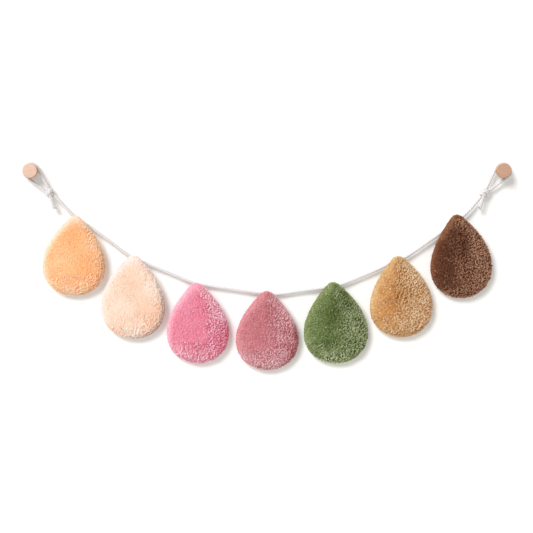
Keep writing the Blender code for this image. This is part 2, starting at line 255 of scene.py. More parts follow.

# Painted shade where a pile leans away from the light and looks deeper, and painted highlight where
# it leans towards it and looks paler: soft strokes from one place to another, across and down from the
# upper left as shares of the size, their reach as a share of the width, and how much darker they are
STROKES = {
    "peach": (((0.48, 0.34), (0.58, 0.66), 0.24, 0.06), ((0.75, 0.88), (0.95, 0.72), 0.16, 0.07),
              ((0.14, 0.84), (0.46, 0.97), 0.10, -0.10)),
    "cream": (((0.94, 0.62), (0.76, 0.95), 0.12, 0.12), ((0.48, 0.48), (0.58, 0.64), 0.22, 0.06)),
    "pink": (((0.56, 0.16), (0.46, 0.74), 0.16, 0.10), ((0.94, 0.58), (0.84, 0.80), 0.12, 0.14),
             ((0.62, 0.12), (0.92, 0.44), 0.10, -0.32), ((0.22, 0.88), (0.66, 0.97), 0.12, -0.30)),
    "rose": (((0.52, 0.14), (0.42, 0.62), 0.22, 0.14), ((0.96, 0.56), (0.88, 0.80), 0.12, 0.18),
             ((0.62, 0.10), (0.88, 0.34), 0.10, -0.32), ((0.14, 0.84), (0.66, 0.97), 0.13, -0.40),
             ((0.46, 0.72), (0.70, 0.76), 0.09, -0.12)),
    "green": (((0.60, 0.16), (0.44, 0.40), 0.14, 0.24), ((0.44, 0.40), (0.34, 0.72), 0.17, 0.32),
              ((0.66, 0.14), (0.80, 0.34), 0.08, 0.22), ((0.10, 0.74), (0.50, 0.97), 0.13, -0.28),
              ((0.94, 0.74), (0.84, 0.88), 0.10, 0.10), ((0.70, 0.48), (0.62, 0.92), 0.06, 0.09)),
    "tan": (((0.50, 0.12), (0.46, 0.48), 0.16, 0.15), ((0.44, 0.48), (0.26, 0.72), 0.18, 0.17),
            ((0.58, 0.10), (0.74, 0.26), 0.09, -0.24)),
    "brown": (((0.50, 0.24), (0.52, 0.42), 0.14, 0.54), ((0.18, 0.40), (0.26, 0.74), 0.20, 0.40),
              ((0.58, 0.06), (0.88, 0.82), 0.13, -0.34), ((0.34, 0.06), (0.20, 0.26), 0.10, -0.30),
              ((0.12, 0.84), (0.22, 0.95), 0.08, -0.40), ((0.57, 0.10), (0.60, 0.22), 0.06, -0.20)),
}

# Yarn colours: down at the roots, the painted shade between the tufts; along the yarn; at cut tips that
# stand open, painted highlight where they catch the light, and scattered specks; at the rim that turns
# away from the light, painted shade; and at the rim that faces it, painted highlight
YARNS = by_name(
    "root yarn tip warm pale",
    (
        ("peach", "EEA268", "F9BA84", "FFF5DE", "E8B48A", "FBDFD3"),
        ("cream", "EDC2A6", "F7D6C1", "F5EFE9", "CAB3AC", "FADBD8"),
        ("pink", "C8506F", "E08299", "FFD6E6", "E67490", "FAB7C5"),
        ("rose", "AE505A", "BC6F79", "FFD8DC", "A65854", "D18F93"),
        ("green", "283615", "5A6B39", "D5E2AA", "636F34", "818D5C"),
        ("tan", "9B6029", "C8945A", "FFE6BE", "AF8154", "C7AA7E"),
        ("brown", "1D0903", "482211", "DCA280", "955F42", "86583E"),
    ),
)

# Towards the light over a drop's front, and how its two rims take their colour, painted highlight on
# the one that faces the light and painted shade on the one that turns away: how strong it is, how fast
# it comes in round the outline and from where, and how far in it fades out
LIGHT_WAY = (-0.80, 0.60)
PAINTED_HIGHLIGHT_RIM = {"strength": 0.75, "gain": 1.2, "start": 0.1, "reach": 0.018}
PAINTED_SHADE_RIM = {"gain": 1.3, "reach": 0.016}

# Spacing of the tufts, and how far one is shifted in it. From the outline in to RIM_INSET they stand
# in rows, the first of them so far along the section from the backing, and are shifted from row to row
# by no more than a share of that.
PITCH = 0.0021
ROW_SHARE = math.sqrt(3) / 2
JITTER = 0.38
RIM_INSET = 0.0055
RIM_FIRST_ROW = 0.0014
RIM_ROW_JITTER = 0.6

# The line along which a pile opens: how soft it is, how it slopes at the foot, and how it waves, as
# the waves' height and their radians to a metre, down and across
OPENING_WIDTH = 0.45
FOOT_WIDTH = 0.24
FOOT_SLOPE = 0.14
RAGGED = ((0.05, 190), (0.04, 260))

# How a tuft stands where the pile lies sleek and where it has opened: its radius and its stem's
# length, how far over it lies and curls aside, how far its end strays and the pad lies below it, how
# far a clump rises, the share that is missing, and how the tone strays, by tuft and by clump.
# A share of the open ones stands proud: longer yarn ends that lie over the others and catch the light,
# painted paler and with more painted highlight on their ends. Others have sunk between them and are
# painted deeper in tone, as shade, and a few are dark pits of painted shade.
TUFT_SIDES = 5
TUFT_UNEVEN = 0.16
SLEEK = {
    "radius": 0.00160, "stem": 0.0016, "lie": 0.0006, "curl": 0.0002, "jitter": 0.00018,
    "ground": 0.00050, "clump": 0.00025, "missing": 0.004, "tone": 0.13, "clumped": 0.12,
}
OPEN = {
    "radius": 0.00082, "stem": 0.0050, "lie": 0.0028, "curl": 0.0005, "jitter": 0.00045,
    "ground": 0.0033, "clump": 0.00060, "missing": 0.14, "tone": 0.11, "clumped": 0.07,
}
PROUD = {"share": 0.60, "lie": 0.0040, "rise": 0.0003, "curl": 0.0005, "tone": 1.18, "brushed": 0.82}
SUNK = {"fall": 0.0018, "tone": 0.61, "deep": 0.80, "brushed": 0.28}
PAINTED_PITS = {"share": 0.009, "tone": 0.6}

# Each tuft's lie, the painted highlight on its end and its radius vary by these shares. No end stands
# farther out from the pile's outer surface than this, and the tone of a paler stroke raises that
# painted highlight no more than that.
LIE_SHARES = (0.4, 1.0)
TIP_HIGHLIGHT_SHARES = (0.4, 1.0)
RADIUS_SHARES = (0.85, 1.12)
HIGHEST_END = 0.0006
BRIGHTEST = 1.2

# How much of the root's depth, painted shade, and of the patches shows where the pile is sleek
SLEEK_DEPTH = 0.35
SLEEK_PATCHES = 0.4

# The way the pile is brushed, up to the right, and the clumps in which its yarn ends cling together.
# A yarn end's crest, how far it comes up, is the usual one, changed by its clump and by chance.
BRUSHED_WAY = math.radians(64)
BRUSHED_SPREAD = 0.32
WAVES = 32
CLUMP_LENGTHS = (0.0032, 0.0080)
CLUMP_TURN = math.radians(45)
PATCH_LENGTHS = (0.012, 0.032)
PATCH_TURN = math.radians(80)
CREST_USUAL = 0.62
CREST_CLUMPED = 0.32
CREST_RANDOM = 0.32

# At the rim, which fades out over its reach, tufts lie outwards and are set in by the tuck. Their ends
# stray and clump by so much there; they lie over and sink less by the calm share, and what else raises
# or lowers them counts less by the level share.
RIM_REACH = 0.009
RIM_TUCK = 0.0011
RIM_FUZZ = 0.00032
RIM_CLUMP = 0.0003
RIM_CALM = 0.6
RIM_LEVEL = 0.5

# How far up a tuft its rings are, from 0 to 1, and how wide it is there: a sleek one draws in towards
# its end, and an open one flares a little. A tuft bends, and takes the rings of an open one, from this
# share of opening on, mixed by clump.
SLEEK_RINGS = ((0.30, 1.00), (0.78, 0.86))
OPEN_RINGS = ((0.0, 0.72), (0.55, 0.90), (0.94, 0.94))
BENDS_FROM = 0.32
BEND_MIXED = 0.16

# The pad under the tufts: its rings crowd towards the back by a power, and over PAD_EDGE of the
# section it sinks in under the pile. Its colour is taken from so far up the yarn where the pile is
# sleek, that much lower, deeper in painted shade, where it is open, and half way up at its middle.
PAD_SIDES = 120
PAD_RINGS = 30
PAD_CROWDING = 1.6
PAD_EDGE = 0.004
PAD_RISE = {"sleek": 0.85, "lower": 0.75, "middle": 0.5}


def unit(vectors):
    return vectors / np.linalg.norm(vectors, axis=-1, keepdims=True)


def square_to(along, vectors):
    """The part of the vectors that is square to along, made 1 long."""
    return unit(vectors - np.sum(vectors * along, axis=-1, keepdims=True) * along)


def smooth(share):
    """0 below 0, 1 above 1, and an S-shaped rise between: 3 s^2 - 2 s^3."""
    share = np.clip(share, 0.0, 1.0)
    return share * share * (3 - 2 * share)


def run_along(line):
    """The length of the line from its start to each of its points."""
    return np.concatenate([[0.0], np.cumsum(np.linalg.norm(np.diff(line, axis=0), axis=1))])


def even_steps(line, spacing):
    """The line's points moved along it until they are evenly spaced, about spacing apart."""
    run = run_along(line)
    steps = np.linspace(0.0, run[-1], int(round(run[-1] / spacing)) + 1)
    return np.stack([np.interp(steps, run, column) for column in line.T], axis=1)


def smooth_path(points, spacing):
    """Even steps along a Catmull-Rom curve through the points, with the ends carried straight on."""
    points = np.asarray(points, float)
    ends = np.vstack([2 * points[0] - points[1], points, 2 * points[-1] - points[-2]])
    a, b, c, d = (ends[i : len(ends) - 3 + i, None] for i in range(4))
    u = np.linspace(0.0, 1.0, CURVE_STEPS, endpoint=False)[:, None]
    curve = 2 * b + (c - a) * u + (2 * a - 5 * b + 4 * c - d) * u**2 + (3 * b - a - 3 * c + d) * u**3
    return even_steps(np.vstack([curve.reshape(-1, points.shape[1]) / 2, points[-1:]]), spacing)


# Meshes

def skin(rings, sides):
    """Four-cornered faces between each ring of points and the next, as point numbers."""
    ring, side = np.meshgrid(np.arange(rings - 1), np.arange(sides), indexing="ij")
    after = (side + 1) % sides
    here, beyond = ring * sides, (ring + 1) * sides
    return np.stack((here + side, here + after, beyond + after, beyond + side), axis=-1).reshape(-1, 4)


def fan(sides, first, tip):
    """Three-cornered faces from a ring whose numbers begin at first to the point numbered tip."""
    side = np.arange(sides)
    return np.stack([first + side, first + (side + 1) % sides, np.full(sides, tip)], axis=1)


def copies(faces, count, step):
    """The same faces for each of count like shapes, whose point numbers lie step apart."""
    return (faces[None] + step * np.arange(count)[:, None, None]).reshape(-1, faces.shape[1])


def joined(parts):
    """Several (points, lists of faces, named values) as one, with the point numbers carried on."""
    firsts = np.cumsum([0] + [len(points) for points, faces, numbers in parts])
    points = np.vstack([part[0] for part in parts])
    faces = [block + first for part, first in zip(parts, firsts) for block in part[1]]
    numbers = {label: np.concatenate([part[2][label] for part in parts]) for label in parts[0][2]}
    return points, faces, numbers


def make_piece(name, points, faces, numbers, finishes, finish_of=None, crisp=None):
    """A smooth-shaded object from arrays: points, lists of faces with like corner counts, and named
    values or directions at the points. finish_of gives each face its finish, and edges that turn by
    more than crisp degrees stay sharp."""
    mesh = bpy.data.meshes.new(name)
    corners = np.concatenate([block.ravel() for block in faces])
    counts = np.concatenate([np.full(len(block), block.shape[1]) for block in faces])
    mesh.vertices.add(len(points))
    mesh.vertices.foreach_set("co", np.asarray(points, np.float32).ravel())
    mesh.loops.add(len(corners))
    mesh.loops.foreach_set("vertex_index", corners.astype(np.int32))
    mesh.polygons.add(len(counts))
    mesh.polygons.foreach_set("loop_start", (np.cumsum(counts) - counts).astype(np.int32))
    if finish_of is not None:
        mesh.polygons.foreach_set("material_index", finish_of.astype(np.int32))
    for label, values in numbers.items():
        kind, field = ("FLOAT", "value") if values.ndim == 1 else ("FLOAT_VECTOR", "vector")
        column = mesh.attributes.new(label, kind, "POINT")
        column.data.foreach_set(field, np.asarray(values, np.float32).ravel())
    mesh.update(calc_edges=True)
    mesh.shade_smooth()
    if crisp is not None:
        mesh.set_sharp_from_angle(angle=math.radians(crisp))
    for material in finishes:
        mesh.materials.append(material)
    piece = bpy.data.objects.new(name, mesh)
    bpy.context.scene.collection.objects.link(piece)
    return piece


def fit(piece, node):
    """The piece rides on the body and stands for the node, whose own part is hidden."""
    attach(piece, BODY)
    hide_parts(node)


# Finishes

def linear(hex_colour):
    """The linear red, green, blue and alpha that a shader takes, from the sRGB colour by its curve."""
    shares = [int(hex_colour[i : i + 2], 16) / 255 for i in (0, 2, 4)]
    return [c / 12.92 if c <= 0.04045 else ((c + 0.055) / 1.055) ** 2.4 for c in shares] + [1.0]


def set_sockets(material, node, values):
    """Gives the node's sockets, by name or number, a value each or another node's output."""
    for socket, value in values.items():
        if isinstance(value, bpy.types.NodeSocket):
            material.node_tree.links.new(value, node.inputs[socket])
        else:
            node.inputs[socket].default_value = value


def add_node(material, kind, inputs, output=0, **settings):
    """Adds a shader node with its inputs and its own settings, and gives back one of its outputs."""
    node = material.node_tree.nodes.new("ShaderNode" + kind)
    for label, value in settings.items():
        setattr(node, label, value)
    set_sockets(material, node, inputs)
    return node.outputs[output]


def new_finish(name):
    """A material with its Principled shader, whose sockets the finishes below set."""
    material = bpy.data.materials.new(name)
    material.use_nodes = True
    return material, material.node_tree.nodes["Principled BSDF"]


def marks(material, place, sizes_mm, detail, turn=0.0):
    """Soft marks, about as long along x, y and z as the sizes, and turned about y: noise, drawn out."""
    stretch = [1000 / size for size in sizes_mm]
    drawn = {"Vector": place, "Rotation": (0.0, turn, 0.0), "Scale": stretch}
    drawn = add_node(material, "Mapping", drawn)
    return add_node(material, "TexNoise", {"Vector": drawn, "Scale": 1.0, "Detail": detail})


def layered(material, lowest, *layers):
    """The lowest colour, covered by each layer's colour in turn to the layer's share."""
    for share, colour in layers:
        lowest = add_node(material, "Mix", {0: share, 6: lowest, 7: colour}, 2, data_type="RGBA")
    return lowest


def surface(material, shader, colour, rough, shine, pattern, strength, height):
    """What all these finishes have: a colour, roughness, shine, and their pattern as low relief."""
    bump = add_node(material, "Bump", {"Strength": strength, "Distance": height, "Height": pattern})
    values = {"Base Color": colour, "Roughness": rough, "Normal": bump, "Specular IOR Level": shine}
    set_sockets(material, shader, values)


FIBRE_MM = 0.45
FIBRE_LENGTH_MM = 3.0
FIBRE_CONTRAST = 0.18
YARN_END_MM = 2.2
SPECKLE = 0.26
PILE_SHEEN = 0.20
LIGHT_REACH = 0.0015
EYE_SHARES = (0.2126, 0.7152, 0.0722)


def cut_pile(drop):
    """Soft spun yarn, tufted and cut: painted shade, a deep colour, between the tufts, and painted
    highlight on the paler brushed ends.

    The sheen of its loose fibres and a painted highlight on the rim that faces the light give the velvety
    pale edge, and the roughness keeps it matt. Light that bounces among the tufts takes on more of the
    yarn's own colour, so the tone, which carries painted shade and highlight, is a power of that colour,
    1 + log tone / log brightness, which makes it darker and deeper together. The brightness is the eye's
    shares of the yarn's red, green and blue."""
    yarn = {part: linear(colour) for part, colour in drop["yarn"].items()}
    material, shader = new_finish(f"cut_pile_{drop['name']}")
    place = add_node(material, "TexCoord", {}, "Object")
    rise, brushed, away, facing, tone = (
        add_node(material, "Attribute", {}, "Fac", attribute_name=label)
        for label in ("rise", "brushed", "away", "facing", "tone")
    )
    speckle = marks(material, place, [YARN_END_MM] * 3, 2.0)
    contrast = {"Value": speckle, "From Min": 0.35, "From Max": 0.70, "To Max": SPECKLE}
    speckle = add_node(material, "MapRange", contrast)
    # Fibres run out from the wall: close together across, long that way
    fibres = marks(material, place, (FIBRE_MM, FIBRE_LENGTH_MM, FIBRE_MM), 1.0)
    # Down between the fibres the root's deep colour shows, as painted shade
    contrast = {"Value": fibres, "From Min": 0.30, "From Max": 0.60, "To Min": FIBRE_CONTRAST, "To Max": 0.0}
    painted_fibre_shade = add_node(material, "MapRange", contrast)
    # Over the root's painted shade: the yarn up each tuft, painted shade between the fibres, scattered
    # specks of the tip colour, painted highlight on the ends, painted shade on the rim turned from the light
    # and painted highlight on the rim that faces it
    lit = layered(
        material,
        yarn["root"],
        (rise, yarn["yarn"]),
        (painted_fibre_shade, yarn["root"]),
        (speckle, yarn["tip"]),
        (brushed, yarn["tip"]),
        (away, yarn["warm"]),
        (facing, yarn["pale"]),
    )
    brightness = float(np.dot(yarn["yarn"][:3], EYE_SHARES))
    power = add_node(material, "Math", {0: tone, 1: brightness}, operation="LOGARITHM")
    power = add_node(material, "Math", {0: power, 1: 1.0}, operation="ADD")
    lit = add_node(material, "Gamma", {"Color": lit, "Gamma": power})
    surface(material, shader, lit, rough=0.95, shine=0.15, pattern=fibres, strength=0.6, height=0.0003)
    sheen = {"Sheen Weight": PILE_SHEEN, "Sheen Roughness": 0.45, "Sheen Tint": yarn["pale"]}
    set_sockets(material, shader, sheen)
    inside = {"Subsurface Weight": drop["clear"], "Subsurface Scale": LIGHT_REACH}
    set_sockets(material, shader, inside | {"Subsurface Radius": (1.0, 0.7, 0.5)})
    return material


WEAVE_MM = 0.9


def backing_cloth(drop):
    """Plain-woven cotton backing in the yarn's own shade, matt, its threads a millimetre apart."""
    material, shader = new_finish(f"woven_backing_{drop['name']}")
    place = add_node(material, "TexCoord", {}, "Object")
    # One band of Blender's waves spans pi / 10 of its scaled length
    scale = 1000 / WEAVE_MM * math.pi / 10
    bands = {"Vector": place, "Scale": scale, "Distortion": 0.6, "Detail": 1.0}
    warp, weft = (add_node(material, "TexWave", bands, "Fac", bands_direction=way) for way in ("X", "Z"))
    weave = add_node(material, "Math", {0: warp, 1: weft}, operation="MAXIMUM")
    colour = layered(material, linear(drop["yarn"]["warm"]), (weave, linear(drop["yarn"]["yarn"])))
    surface(material, shader, colour, rough=0.9, shine=0.2, pattern=weave, strength=0.5, height=0.0004)
    return material


# Cotton's colours: the off-white of its strands, and the painted shade down in the lay and in the knots'
# pits
COTTON = {"light": "D2D2D4", "painted_crease_shade": "C6BDB9"}
YARN_MM = 0.8
YARN_LENGTH_MM = 6 * YARN_MM
COTTON_LIGHT_REACH = 0.003


def cotton(name, light_through):
    """Bleached cotton, in three loose strands or as single fibres: matt off-white, and painted shade, a
    darker and warmer colour, down in the lay and in a knot's pits. Light spreads through a cord and
    evens out its shading, but not along a fibre."""
    material, shader = new_finish(name)
    place = add_node(material, "Attribute", {}, "Vector", attribute_name="straightened")
    crown = add_node(material, "Attribute", {}, "Fac", attribute_name="crown")
    yarns = marks(material, place, (YARN_MM, YARN_MM, YARN_LENGTH_MM), 2.0)
    # Painted shade where the crown falls away, down in the lay
    colour = layered(material, linear(COTTON["painted_crease_shade"]), (crown, linear(COTTON["light"])))
    surface(material, shader, colour, rough=0.9, shine=0.2, pattern=yarns, strength=0.5, height=0.0004)
    inside = {"Subsurface Weight": light_through, "Subsurface Scale": COTTON_LIGHT_REACH}
    set_sockets(material, shader, inside | {"Subsurface Radius": (1.0, 1.0, 1.0)})
    return material


GRAIN_MM = 1.1
GRAIN_SIZES_MM = (14 * GRAIN_MM, 3 * GRAIN_MM, GRAIN_MM)
GRAIN_TURN = math.radians(-9)
# Each peg's colours: the grain's lines, the wood between them, and the painted shade on its turned sides.
# The right peg's set is darker, painted shade for the dimmer light on it.
BEECH = by_name(
    "light dark side",
    (
        ("left", "D6B7A6", "CDAB98", "B9825F"),
        ("right", "BB9580", "A5806B", "B07F58"),
    ),
)


def beech(peg):
    """Sanded beech with a thin coat of wax: pinkish, with fine lines along the grain, a soft shine, and
    painted shade, a deeper colour, on the turned sides."""
    light, dark, side = (linear(colour) for colour in BEECH[peg].values())
    material, shader = new_finish(f"waxed_beech_{peg}")
    place = add_node(material, "TexCoord", {}, "Object")
    lines = marks(material, place, GRAIN_SIZES_MM, 3.0, GRAIN_TURN)
    lines = add_node(material, "MapRange", {"Value": lines, "From Min": 0.35, "From Max": 0.65})
    turned = add_node(material, "Attribute", {}, "Fac", attribute_name="side")
    # Painted shade on the turned sides
    colour = layered(material, dark, (lines, light), (turned, side))
    surface(material, shader, colour, rough=0.5, shine=0.35, pattern=lines, strength=0.15, height=0.0002)
    return material


# The view and the light

def set_camera():
    """A long lens square on to the wall, so that it takes in VIEW_WIDTH there."""
    camera = bpy.data.cameras.new("front_view")
    camera.sensor_width = SENSOR_MM
    camera.lens = SENSOR_MM * VIEW_DISTANCE / VIEW_WIDTH
    seat = bpy.data.objects.new("front_view", camera)
    seat.location = (VIEW_CENTRE[0], -VIEW_DISTANCE, VIEW_CENTRE[1])
    seat.rotation_euler = (math.radians(90), 0.0, 0.0)
    bpy.context.scene.collection.objects.link(seat)
    bpy.context.scene.camera = seat


WALL_REACH = 3.0
WALL_GLOW = 0.11
FLOOR_Z = -0.80
SKY_STRENGTH = 0.38
LIGHTS = {
    "key": {"strength": 3.4, "soft": 30, "shines": (0.64, 1.0, -0.80)},
    "from_behind": {"strength": 1.5, "soft": 60, "shines": (0.1, -1.0, -0.15)},
}


def plane(name, corners, material):
    """A flat staging surface through four corners."""
    panel = make_piece(name, np.array(corners), [np.arange(4)[None]], {}, [material])
    return panel


def set_stage():
    """A white wall, lit up a little, that is seen only from the front and lets light past it, and a
    pale floor."""
    wall_paint, shader = new_finish("white_wall_paint")
    paint = {"Base Color": linear("E2E2E1"), "Roughness": 1.0, "Specular IOR Level": 0.0}
    glow = {"Emission Color": linear("FFFEFB"), "Emission Strength": WALL_GLOW}
    set_sockets(wall_paint, shader, paint | glow)
    behind = add_node(wall_paint, "NewGeometry", {}, "Backfacing")
    clear = add_node(wall_paint, "BsdfTransparent", {})
    sided = add_node(wall_paint, "MixShader", {0: behind, 1: shader.outputs[0], 2: clear})
    set_sockets(wall_paint, wall_paint.node_tree.nodes["Material Output"], {"Surface": sided})
    left, right = VIEW_CENTRE[0] - WALL_REACH, VIEW_CENTRE[0] + WALL_REACH
    low, high, near, far = FLOOR_Z, FLOOR_Z + WALL_REACH, -WALL_REACH, WALL_REACH
    wall = plane("wall", [(left, 0, low), (right, 0, low), (right, 0, high), (left, 0, high)], wall_paint)
    wall.visible_shadow = False
    floor_paint, shader = new_finish("pale_floor")
    paint = {"Base Color": linear("ECEAE6"), "Roughness": 0.9, "Specular IOR Level": 0.1}
    set_sockets(floor_paint, shader, paint)
    corners = [(left, near, low), (right, near, low), (right, far, low), (left, far, low)]
    plane("floor", corners, floor_paint)


def set_lights():
    """A soft key light from the upper left in front of the wall, a weak one for the backs, and even
    light from all round."""
    sky = bpy.data.worlds.new("studio")
    sky.use_nodes = True
    even = {"Strength": SKY_STRENGTH, "Color": linear("FFFDFA")}
    set_sockets(sky, sky.node_tree.nodes["Background"], even)
    bpy.context.scene.world = sky
    for name, light in LIGHTS.items():
        lamp = bpy.data.lights.new(name, "SUN")
        lamp.energy = light["strength"]
        lamp.angle = math.radians(light["soft"])
        seat = bpy.data.objects.new(name, lamp)
        seat.rotation_euler = Vector(light["shines"]).to_track_quat("-Z", "Y").to_euler()
        bpy.context.scene.collection.objects.link(seat)
    bpy.context.scene.view_settings.view_transform = "Standard"


# The cord

def cord_depth(x):
    """How far the cord's middle stands off the wall: least half way along, and from there more by the
    share of the way to a peg to the power 1.5."""
    share = abs(2 * x / PEG_SPAN - 1)
    return CORD_DEPTH_MIDDLE + (CORD_DEPTH_AT_PEGS - CORD_DEPTH_MIDDLE) * share**1.5


def in_space(point):
    """A place (x, z) seen from the front, put at the cord's depth there."""
    x, z = point
    return np.array([x, -cord_depth(x), z])


def drawn_back(line):
    """The line with both ends a touch short, clear of the knots' collars."""
    line = np.array(line, float)
    line[0] += unit(line[1] - line[0]) * TOUCH_GAP
    line[-1] += unit(line[-2] - line[-1]) * TOUCH_GAP
    return line


def hanging_path():
    """The middle line of the cord between the knots, at even steps."""
    return smooth_path(drawn_back([in_space(point) for point in CORD_ROUTE]), CORD_STEP)


def touch_point(peg_x, end, radius, way):
    """The angle at which a straight leg from end meets the circle round the peg's stem."""
    across = np.array([end[0] - peg_x, end[1]])
    return math.atan2(across[1], across[0]) + way * math.acos(radius / np.linalg.norm(across))


def loop_path(knot):
    """From the upper leg's end, straight to the stem, round its far side and back to the lower leg."""
    radius = PEG_STEM_RADIUS + TOUCH_GAP + FACET_GAP + CORD_RADIUS
    way = knot["way"]
    first = touch_point(knot["peg_x"], knot["upper_leg"], radius, way)
    last = touch_point(knot["peg_x"], knot["lower_leg"], radius, -way)
    sweep = (last - first) * way % FULL_TURN
    angles = first + way * np.linspace(0.0, sweep, ARC_STEPS + 1)
    arc = np.stack([knot["peg_x"] + radius * np.cos(angles), radius * np.sin(angles)], axis=1)
    flat = np.vstack([knot["upper_leg"], arc, knot["lower_leg"]])
    line = np.stack([flat[:, 0], np.full(len(flat), -cord_depth(knot["peg_x"])), flat[:, 1]], axis=1)
    return even_steps(drawn_back(line), CORD_STEP)


def rope(path, facing, radius, before=0.0, broad=1.0, groove=CORD_GROOVE):
    """A three-strand cord along a path: its rings of points, faces and named values.

    At angle a from a strand's crown the section reaches radius (1 - groove |sin 1.5a|^5), and it is
    pressed broad times as wide as it is deep; these three may change along the path. It is square to
    the path, its first direction is the part of facing that is square to it too, and it turns
    backwards once every CORD_LAY; before is how much cord comes before the start. crown is 1 along the
    strands' tops and 0 down between them, where the cotton finish paints shade, and straightened is
    where a point would lie on the untwisted cord."""
    along = unit(np.gradient(path, axis=0))
    across = square_to(along, facing)
    beyond = np.cross(along, across)
    run = run_along(path)
    base = np.linspace(0.0, FULL_TURN, CORD_SIDES, endpoint=False)
    hollow = np.abs(np.sin(1.5 * base)) ** 5
    radius, groove, broad = (np.broadcast_to(value, len(path))[:, None] for value in (radius, groove, broad))
    reach = radius * (1 - groove * hollow)
    angle = base - FULL_TURN * (before + run[:, None]) / CORD_LAY
    one = (reach * np.cos(angle))[..., None] * across[:, None]
    other = (reach * np.sin(angle) * broad)[..., None] * beyond[:, None]
    points = (path[:, None] + one + other).reshape(-1, 3)
    circle = np.stack([np.cos(base), np.sin(base)], axis=1) * CORD_RADIUS
    straightened = np.column_stack([np.tile(circle, (len(path), 1)), np.repeat(run, CORD_SIDES)])
    start = np.arange(CORD_SIDES)[None, ::-1]
    ends = np.vstack([start, start[:, ::-1] + (len(path) - 1) * CORD_SIDES])
    numbers = {"crown": np.tile(1 - hollow, len(path)), "straightened": straightened}
    return points, [skin(len(path), CORD_SIDES), ends], numbers


TOWARDS_ROOM = np.array([0.0, -1.0, 0.0])


def free_cord(name, path, node, finish):
    """A free stretch of the cord, which goes into a knot at both ends."""
    piece = make_piece(name, *rope(path, TOWARDS_ROOM, CORD_RADIUS), [finish], crisp=CRISP_CUT)
    fit(piece, node)


def knot_axes(knot):
    """The knot's own direction, from the peg towards the hanging cord, the room's, and the third."""
    middle = np.array(knot["middle"])
    axis = unit(np.array([middle[0] - knot["peg_x"], 0.0, middle[1]]))
    return axis, TOWARDS_ROOM, np.cross(axis, TOWARDS_ROOM)


def knot_turn(knot, along, on, aside, ring, cord, tilt, swing, broad):
    """A turn of cord round the knot.

    At angle t from the front it lies ring away from the knot's axis, moved aside, and slides along it
    by on (s - 1/2) + ring (sin t tan tilt + cos t tan swing), s being the share of the turn. Both its
    ends are behind, and dive there by TURN_DIVE |2 s - 1|^10 of ring. crown fades in the pits between
    the turns, down to the surface that lies KNOT_PIT from the axis, so that painted shade fills them."""
    axis, front, side = knot_axes(knot)
    middle = in_space(knot["middle"])
    share = np.linspace(0.0, 1.0, TURN_STEPS)
    angle = (share - 0.5) * TURN_SWEEP
    reach = ring * (1 - TURN_DIVE * np.abs(2 * share - 1) ** 10)
    tilt, swing = (math.tan(math.radians(degrees)) for degrees in (tilt, swing))
    slide = along + on * (share - 0.5) + reach * (np.sin(angle) * tilt + np.cos(angle) * swing)
    outward = np.cos(angle)[:, None] * front + np.sin(angle)[:, None] * side
    path = middle + aside * side + slide[:, None] * axis + reach[:, None] * outward
    points, faces, numbers = rope(path, outward, cord, broad=broad, groove=KNOT_GROOVE)
    off = points - middle
    off = np.linalg.norm(off - (off @ axis)[:, None] * axis, axis=1)
    # Painted shade in the pits between the turns
    numbers["crown"] = numbers["crown"] * smooth((off - KNOT_PIT) / (KNOT_CREST - KNOT_PIT))
    return points, faces, numbers


def tail_ends(knot):
    """Where the cut end starts and stops: it lies in front of the hanging cord."""
    return [in_space(point) - (0.0, out, 0.0) for point, out in zip(knot["tail"], TAIL_FORWARD)]


def collar(end, after, length=None, broad=1.0, dive=0.0):
    """A short stretch that carries a cord on into the knot past its end, from just inside the cord, in
    step with its strands, and dives towards the wall by dive s^2 at share s. length is the cord's own,
    where the end is its far one."""
    inward = unit(end - after)
    share = np.linspace(1.0, 0.0, COLLAR_STEPS)[:, None]
    line = end + inward * ((COLLAR_LENGTH + CORD_OVERLAP) * share - CORD_OVERLAP)
    line = line - TOWARDS_ROOM * dive * share**2
    before = CORD_OVERLAP - run_along(line)[-1]
    if length is not None:
        line, before = line[::-1], length - CORD_OVERLAP
    return rope(line, TOWARDS_ROOM, COLLAR_RADIUS, before, broad)


def build_knot(knot, hanging, loop, finish):
    """A pulled-tight knot: its turns of cord, and each cord that leaves it carried on inside."""
    parts = [knot_turn(knot, *turn) for turn in knot["turns"]]
    parts += [collar(*loop[:2]), collar(*loop[:-3:-1], run_along(loop)[-1])]
    parts.append(collar(*tail_ends(knot), broad=knot["tail_radius"] / CORD_RADIUS, dive=TAIL_DIVE))
    if knot["side"] == "left":
        parts.append(collar(*hanging[:2]))
    else:
        parts.append(collar(*hanging[:-3:-1], run_along(hanging)[-1]))
    piece = make_piece(f"cord_knot_{knot['side']}", *joined(parts), [finish], crisp=CRISP_CUT)
    fit(piece, f"knot_{knot['side']}")


def build_tail(knot, finish):
    """The cut end: the cord spreads evenly to its size at the cut, its grooves deepen with the square
    of the share, and the cut slants with its cube. Gives back the cut's edge and the end's direction."""
    start, stop = tail_ends(knot)
    share = np.linspace(0.0, 1.0, TAIL_STEPS)
    path = start + (stop - start) * share[:, None]
    deep = CORD_RADIUS + (TAIL_END_DEPTH / 2 - CORD_RADIUS) * share
    wide = knot["tail_radius"] + (TAIL_END_WIDTH / 2 - knot["tail_radius"]) * share
    groove = CORD_GROOVE + knot["fray"] * share**2
    points, faces, numbers = rope(path, TOWARDS_ROOM, deep, broad=wide / deep, groove=groove)
    along = unit(stop - start)
    across = np.cross(along, TOWARDS_ROOM)
    aside = (points - np.repeat(path, CORD_SIDES, axis=0)) @ across
    points = points - (np.repeat(TAIL_CUT_SLANT / wide * share**3, CORD_SIDES) * aside)[:, None] * along
    piece = make_piece(f"cord_end_{knot['side']}", points, faces, numbers, [finish], crisp=CRISP_CUT)
    fit(piece, f"tail_{knot['side']}")
    return points[-CORD_SIDES:], along


